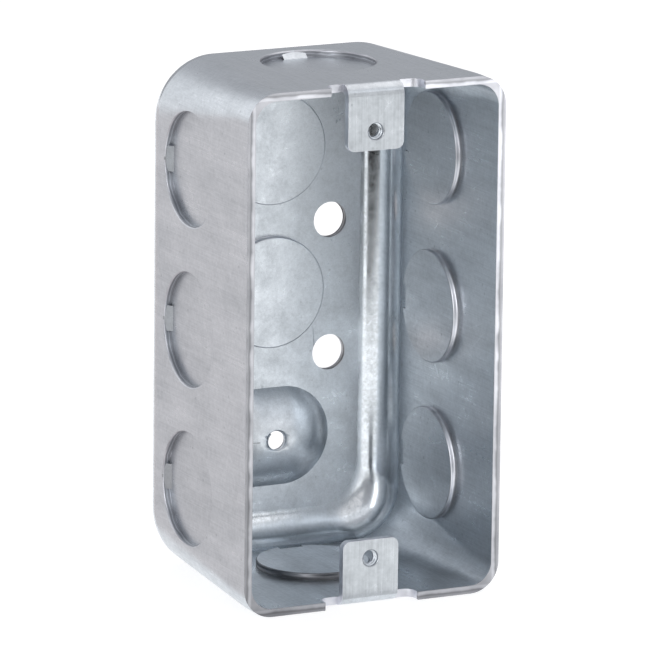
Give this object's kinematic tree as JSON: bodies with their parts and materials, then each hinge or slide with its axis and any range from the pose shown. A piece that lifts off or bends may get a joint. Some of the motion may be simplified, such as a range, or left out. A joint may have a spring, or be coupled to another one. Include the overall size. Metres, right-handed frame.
{
  "type": "handy box",
  "caption": "Deep drawn steel electrical utility box with one open face, folded-in device tabs, round knockouts in its walls, mounting holes and a raised ground screw seat.",
  "frame": {"origin": "under the middle of the short end that the box stands on", "axes": "+Z along the box's length, +X across its width, and -Y out of its open face"},
  "size_m": [0.0544, 0.0476, 0.1016],
  "materials": {
    "zinc_plate": "dull zinc-plated sheet steel with fine drawing marks"
  },
  "bodies": {
    "root": {"drawn_box": "zinc_plate"}
  },
  "joints": []
}
